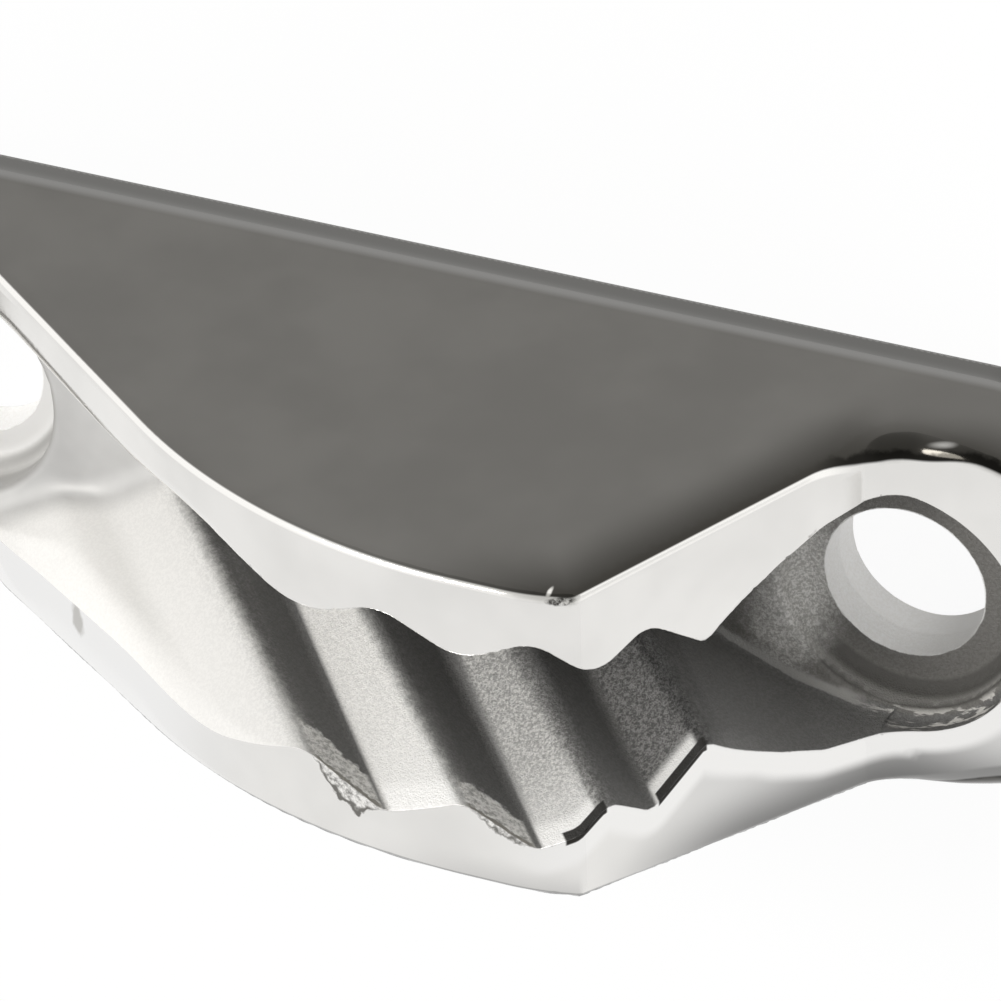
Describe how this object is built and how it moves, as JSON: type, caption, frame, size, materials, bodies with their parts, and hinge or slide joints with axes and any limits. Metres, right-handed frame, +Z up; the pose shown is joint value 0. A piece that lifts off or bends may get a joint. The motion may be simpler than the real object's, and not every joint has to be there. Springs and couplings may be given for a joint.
{
  "type": "rope clamp",
  "caption": "Open cast metal rope clamp for a deck: slanted notches in two leaning jaws grip a rope laid in the channel, with a screw hole in a recess at each end.",
  "frame": {"origin": "middle of the flat base, on the surface it is screwed to", "axes": "+X along the rope towards the tail end and its steep ramp, +Y across the jaws, +Z up out of the deck"},
  "size_m": [0.062, 0.0174, 0.018],
  "materials": {
    "polished_casting": "mirror-polished stainless steel casting, with a matt cast texture left inside the notches"
  },
  "bodies": {
    "root": {"rope_clamp": "polished_casting"}
  },
  "joints": []
}
